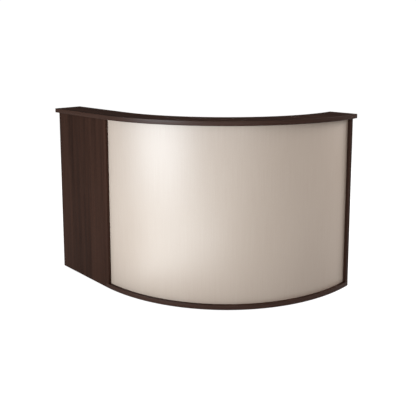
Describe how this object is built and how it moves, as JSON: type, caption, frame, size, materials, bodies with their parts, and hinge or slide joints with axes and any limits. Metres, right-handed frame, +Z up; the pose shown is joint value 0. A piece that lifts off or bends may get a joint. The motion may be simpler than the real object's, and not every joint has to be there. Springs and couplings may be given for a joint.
{
  "type": "checkout counter",
  "caption": "Curved checkout counter with a pearl bent front, high transaction shelf, lower staff worktop and a straight unit with drawer and door.",
  "frame": {"origin": "middle of the whole counter's box, on the floor", "axes": "+Z up; -Y is the way the straight unit's front faces, +Y the staff side; +X runs from the straight unit towards the curved unit's free end"},
  "size_m": [1.695, 1.175, 1.15],
  "materials": {
    "wenge_board": "satin dark wenge laminate, vertical grain",
    "wenge_edge_band": "semi-gloss plastic edge band in the board's colour",
    "pearl_facing": "satin pearl champagne laminate",
    "grey_melamine": "matte light grey melamine",
    "slide_steel": "bright zinc plated sheet",
    "bracket_paint": "black powder coat",
    "zinc_screws": "zinc plated",
    "nickel_hardware": "nickel plated",
    "handle_metal": "brushed satin nickel",
    "lock_chrome": "polished chrome",
    "dark_plastic": "fine moulded texture"
  },
  "bodies": {
    "counter": {"base_board": "wenge_board", "base_board_edge_band": "wenge_edge_band", "seam_gable": "wenge_board", "end_gable": "wenge_board", "front_core_panel_left": "wenge_board", "front_core_panel_right": "wenge_board", "pearl_front_facing": "pearl_facing", "worktop_support_rib": "wenge_board", "shelf_support_rib": "wenge_board", "curved_worktop": "wenge_board", "curved_worktop_edge_band": "wenge_edge_band", "board_brackets": "bracket_paint", "bracket_screws": "zinc_screws", "transaction_shelf": "wenge_board", "shelf_front_edge_band": "wenge_edge_band", "shelf_back_edge_band": "wenge_edge_band", "shelf_end_edge_bands": "wenge_edge_band", "straight_front_panel": "wenge_board", "outer_gable": "wenge_board", "inner_gable": "wenge_board", "cabinet_bottom": "grey_melamine", "plinth_board": "wenge_board", "lock_rail": "wenge_board", "cabinet_divider": "wenge_board", "adjustable_shelf": "grey_melamine", "shelf_pins": "zinc_screws", "straight_worktop": "wenge_board", "straight_worktop_edge_band": "wenge_edge_band", "slide_cabinet_channels": "slide_steel", "hinge_cabinet_leaves": "nickel_hardware", "hinge_pins": "nickel_hardware", "hinge_cabinet_screws": "zinc_screws", "grommet_liners": "dark_plastic", "connector_bolts": "nickel_hardware", "connector_nuts": "nickel_hardware", "glides": "dark_plastic"},
    "drawer": {"drawer_front": "wenge_board", "drawer_left_side": "grey_melamine", "drawer_right_side": "grey_melamine", "drawer_back": "grey_melamine", "drawer_bottom": "grey_melamine", "slide_drawer_channels": "slide_steel", "drawer_handle": "handle_metal", "drawer_handle_screws": "zinc_screws", "drawer_lock_case": "lock_chrome"},
    "slide_middles": {"slide_middle_channels": "slide_steel"},
    "door": {"door_panel": "wenge_board", "hinge_door_leaves": "nickel_hardware", "hinge_door_screws": "zinc_screws", "door_handle": "handle_metal", "door_handle_screws": "zinc_screws", "door_lock_case": "lock_chrome"},
    "drawer_lock": {"drawer_lock_plug": "lock_chrome"},
    "door_lock": {"door_lock_plug": "lock_chrome"},
    "grommet_cap_left": {"grommet_cap_left": "dark_plastic"},
    "grommet_cap_right": {"grommet_cap_right": "dark_plastic"}
  },
  "joints": [
    {"name": "drawer_slide", "type": "slide", "parent": "counter", "child": "drawer", "axis": [0, 1, 0], "range_m": [0, 0.4]},
    {"name": "drawer_middle_slide", "type": "slide", "parent": "counter", "child": "slide_middles", "axis": [0, 1, 0], "range_m": [0, 0.2]},
    {"name": "door_hinge", "type": "hinge", "parent": "counter", "child": "door", "pos_m": [-0.7934, 0.0162, 0.3033], "axis": [0, 0, 1], "range_deg": [0, 110]},
    {"name": "drawer_lock_turn", "type": "hinge", "parent": "drawer", "child": "drawer_lock", "pos_m": [-0.5525, 0.0125, 0.6668], "axis": [0, -1, 0], "range_deg": [0, 90]},
    {"name": "door_lock_turn", "type": "hinge", "parent": "door", "child": "door_lock", "pos_m": [-0.3527, 0.0125, 0.5144], "axis": [0, -1, 0], "range_deg": [0, 90]},
    {"name": "grommet_cap_left_turn", "type": "hinge", "parent": "counter", "child": "grommet_cap_left", "pos_m": [0.04952, -0.38719, 0.74], "axis": [0, 0, 1], "continuous": true},
    {"name": "grommet_cap_right_turn", "type": "hinge", "parent": "counter", "child": "grommet_cap_right", "pos_m": [0.64719, 0.21048, 0.74], "axis": [0, 0, 1], "continuous": true}
  ],
  "couplings": [
    {"joint": "drawer_middle_slide", "follows": "drawer_slide", "ratio": 0.5}
  ]
}
